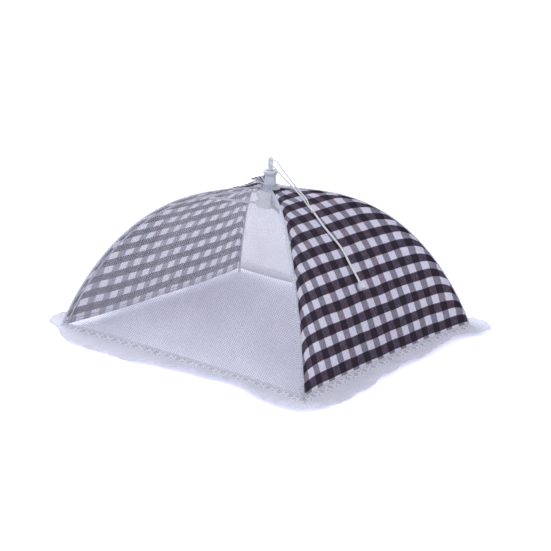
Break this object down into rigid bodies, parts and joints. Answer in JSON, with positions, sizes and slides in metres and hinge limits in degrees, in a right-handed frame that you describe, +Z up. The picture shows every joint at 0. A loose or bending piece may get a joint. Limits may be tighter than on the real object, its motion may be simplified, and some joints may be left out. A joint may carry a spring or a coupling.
{
  "type": "folding mesh food cover",
  "caption": "Umbrella-like food cover: a domed rectangular canopy of mesh and gingham panels on folding ribs, with a lace hem, a latching centre post and a pull cord.",
  "frame": {"origin": "on the table, under the middle of the crown", "axes": "+Z up; +X towards a gingham panel, along the longer side of the base; -Y towards a mesh panel"},
  "size_m": [0.5166, 0.4696, 0.261],
  "materials": {
    "gingham_cloth": "woven check, near-black, mauve-grey and white",
    "gathered_cloth": "gathered gingham and white mesh",
    "mesh_cloth": "fine white net",
    "lace_trim": "white lace with flower eyelets",
    "seam_binding": "white woven tape",
    "crown_plastic": "moulded off-white plastic",
    "latch_plastic": "smooth off-white plastic",
    "rib_steel": "spring steel wire",
    "zinc_plate": "zinc-plated strip",
    "cord": "white twisted cord",
    "bead": "clear white plastic"
  },
  "bodies": {
    "crown": {"crown_hub": "crown_plastic", "crown_collar": "crown_plastic", "crown_ring_wire": "rib_steel", "top_frill": "gathered_cloth"},
    "runner": {"runner_hub": "crown_plastic", "runner_post": "latch_plastic", "runner_ring_wire": "rib_steel"},
    "pull_cord": {"pull_cord_a": "cord", "pull_cord_b": "cord", "cord_knot": "cord", "pull_bead": "bead"},
    "rib_front_left": {"rib_front_left": "rib_steel", "rib_tip_front_left": "crown_plastic", "stretcher_bracket_front_left": "zinc_plate", "seam_binding_front_left": "seam_binding"},
    "stretcher_front_left": {"stretcher_front_left": "zinc_plate"},
    "cloth_left_front": {"gingham_panel_left_front": "gingham_cloth", "lace_left_front": "lace_trim"},
    "cloth_front_left": {"mesh_panel_front_left": "mesh_cloth", "lace_front_left": "lace_trim"},
    "rib_front_right": {"rib_front_right": "rib_steel", "rib_tip_front_right": "crown_plastic", "stretcher_bracket_front_right": "zinc_plate", "seam_binding_front_right": "seam_binding"},
    "stretcher_front_right": {"stretcher_front_right": "zinc_plate"},
    "cloth_right_front": {"gingham_panel_right_front": "gingham_cloth", "lace_right_front": "lace_trim"},
    "cloth_front_right": {"mesh_panel_front_right": "mesh_cloth", "lace_front_right": "lace_trim"},
    "rib_back_right": {"rib_back_right": "rib_steel", "rib_tip_back_right": "crown_plastic", "stretcher_bracket_back_right": "zinc_plate", "seam_binding_back_right": "seam_binding"},
    "stretcher_back_right": {"stretcher_back_right": "zinc_plate"},
    "cloth_right_back": {"gingham_panel_right_back": "gingham_cloth", "lace_right_back": "lace_trim"},
    "cloth_back_right": {"mesh_panel_back_right": "mesh_cloth", "lace_back_right": "lace_trim"},
    "rib_back_left": {"rib_back_left": "rib_steel", "rib_tip_back_left": "crown_plastic", "stretcher_bracket_back_left": "zinc_plate", "seam_binding_back_left": "seam_binding"},
    "stretcher_back_left": {"stretcher_back_left": "zinc_plate"},
    "cloth_left_back": {"gingham_panel_left_back": "gingham_cloth", "lace_left_back": "lace_trim"},
    "cloth_back_left": {"mesh_panel_back_left": "mesh_cloth", "lace_back_left": "lace_trim"}
  },
  "joints": [
    {"name": "runner_slide", "type": "slide", "parent": "crown", "child": "runner", "axis": [0, 0, 1], "range_m": [-0.10767, 0]},
    {"name": "rib_hinge_front_left", "type": "hinge", "parent": "crown", "child": "rib_front_left", "pos_m": [-0.00819, -0.00734, 0.2096], "axis": [0.6673, -0.7448, 0], "range_deg": [0, 50.02]},
    {"name": "stretcher_rivet_front_left", "type": "hinge", "parent": "rib_front_left", "child": "stretcher_front_left", "pos_m": [-0.06365, -0.05703, 0.20063], "axis": [0.6673, -0.7448, 0], "range_deg": [-100.02, 0]},
    {"name": "cloth_fold_left_front", "type": "hinge", "parent": "rib_front_left", "child": "cloth_left_front", "pos_m": [-0.011, -0.00421, 0.2096], "axis": [-0.8841, 0.4345, 0.1719], "range_deg": [0, 36.51], "deforming": ["gingham_panel_left_front", "lace_left_front"]},
    {"name": "cloth_fold_front_left", "type": "hinge", "parent": "rib_front_left", "child": "cloth_front_left", "pos_m": [-0.00491, -0.011, 0.2096], "axis": [-0.3985, 0.9059, -0.1435], "range_deg": [0, 40.16], "deforming": ["mesh_panel_front_left", "lace_front_left"]},
    {"name": "rib_hinge_front_right", "type": "hinge", "parent": "crown", "child": "rib_front_right", "pos_m": [0.00819, -0.00734, 0.2096], "axis": [0.6673, 0.7448, 0], "range_deg": [0, 50.02]},
    {"name": "stretcher_rivet_front_right", "type": "hinge", "parent": "rib_front_right", "child": "stretcher_front_right", "pos_m": [0.06365, -0.05703, 0.20063], "axis": [0.6673, 0.7448, 0], "range_deg": [-100.02, 0]},
    {"name": "cloth_fold_right_front", "type": "hinge", "parent": "rib_front_right", "child": "cloth_right_front", "pos_m": [0.011, -0.00421, 0.2096], "axis": [-0.8841, -0.4345, -0.1719], "range_deg": [0, 36.51], "deforming": ["gingham_panel_right_front", "lace_right_front"]},
    {"name": "cloth_fold_front_right", "type": "hinge", "parent": "rib_front_right", "child": "cloth_front_right", "pos_m": [0.00491, -0.011, 0.2096], "axis": [-0.3985, -0.9059, 0.1435], "range_deg": [0, 40.16], "deforming": ["mesh_panel_front_right", "lace_front_right"]},
    {"name": "rib_hinge_back_right", "type": "hinge", "parent": "crown", "child": "rib_back_right", "pos_m": [0.00819, 0.00734, 0.2096], "axis": [-0.6673, 0.7448, 0], "range_deg": [0, 50.02]},
    {"name": "stretcher_rivet_back_right", "type": "hinge", "parent": "rib_back_right", "child": "stretcher_back_right", "pos_m": [0.06365, 0.05703, 0.20063], "axis": [-0.6673, 0.7448, 0], "range_deg": [-100.02, 0]},
    {"name": "cloth_fold_right_back", "type": "hinge", "parent": "rib_back_right", "child": "cloth_right_back", "pos_m": [0.011, 0.00421, 0.2096], "axis": [0.8841, -0.4345, 0.1719], "range_deg": [0, 36.51], "deforming": ["gingham_panel_right_back", "lace_right_back"]},
    {"name": "cloth_fold_back_right", "type": "hinge", "parent": "rib_back_right", "child": "cloth_back_right", "pos_m": [0.00491, 0.011, 0.2096], "axis": [0.3985, -0.9059, -0.1435], "range_deg": [0, 40.16], "deforming": ["mesh_panel_back_right", "lace_back_right"]},
    {"name": "rib_hinge_back_left", "type": "hinge", "parent": "crown", "child": "rib_back_left", "pos_m": [-0.00819, 0.00734, 0.2096], "axis": [-0.6673, -0.7448, 0], "range_deg": [0, 50.02]},
    {"name": "stretcher_rivet_back_left", "type": "hinge", "parent": "rib_back_left", "child": "stretcher_back_left", "pos_m": [-0.06365, 0.05703, 0.20063], "axis": [-0.6673, -0.7448, 0], "range_deg": [-100.02, 0]},
    {"name": "cloth_fold_left_back", "type": "hinge", "parent": "rib_back_left", "child": "cloth_left_back", "pos_m": [-0.011, 0.00421, 0.2096], "axis": [0.8841, 0.4345, -0.1719], "range_deg": [0, 36.51], "deforming": ["gingham_panel_left_back", "lace_left_back"]},
    {"name": "cloth_fold_back_left", "type": "hinge", "parent": "rib_back_left", "child": "cloth_back_left", "pos_m": [-0.00491, 0.011, 0.2096], "axis": [0.3985, 0.9059, 0.1435], "range_deg": [0, 40.16], "deforming": ["mesh_panel_back_left", "lace_back_left"]},
    {"name": "cord_swing", "type": "hinge", "parent": "runner", "child": "pull_cord", "pos_m": [0.28796, 0, 0.26343], "axis": [0, 1, 0], "range_deg": [0, 22.02], "deforming": ["pull_cord_a", "pull_cord_b"]}
  ],
  "couplings": [
    {"joint": "rib_hinge_front_left", "follows": "runner_slide", "rad_per_m": -8.105},
    {"joint": "stretcher_rivet_front_left", "follows": "runner_slide", "rad_per_m": 16.21},
    {"joint": "cloth_fold_left_front", "follows": "runner_slide", "rad_per_m": -5.9156},
    {"joint": "cloth_fold_front_left", "follows": "runner_slide", "rad_per_m": -6.5071},
    {"joint": "rib_hinge_front_right", "follows": "runner_slide", "rad_per_m": -8.105},
    {"joint": "stretcher_rivet_front_right", "follows": "runner_slide", "rad_per_m": 16.21},
    {"joint": "cloth_fold_right_front", "follows": "runner_slide", "rad_per_m": -5.9156},
    {"joint": "cloth_fold_front_right", "follows": "runner_slide", "rad_per_m": -6.5071},
    {"joint": "rib_hinge_back_right", "follows": "runner_slide", "rad_per_m": -8.105},
    {"joint": "stretcher_rivet_back_right", "follows": "runner_slide", "rad_per_m": 16.21},
    {"joint": "cloth_fold_right_back", "follows": "runner_slide", "rad_per_m": -5.9156},
    {"joint": "cloth_fold_back_right", "follows": "runner_slide", "rad_per_m": -6.5071},
    {"joint": "rib_hinge_back_left", "follows": "runner_slide", "rad_per_m": -8.105},
    {"joint": "stretcher_rivet_back_left", "follows": "runner_slide", "rad_per_m": 16.21},
    {"joint": "cloth_fold_left_back", "follows": "runner_slide", "rad_per_m": -5.9156},
    {"joint": "cloth_fold_back_left", "follows": "runner_slide", "rad_per_m": -6.5071},
    {"joint": "cord_swing", "follows": "runner_slide", "rad_per_m": -3.5662}
  ]
}
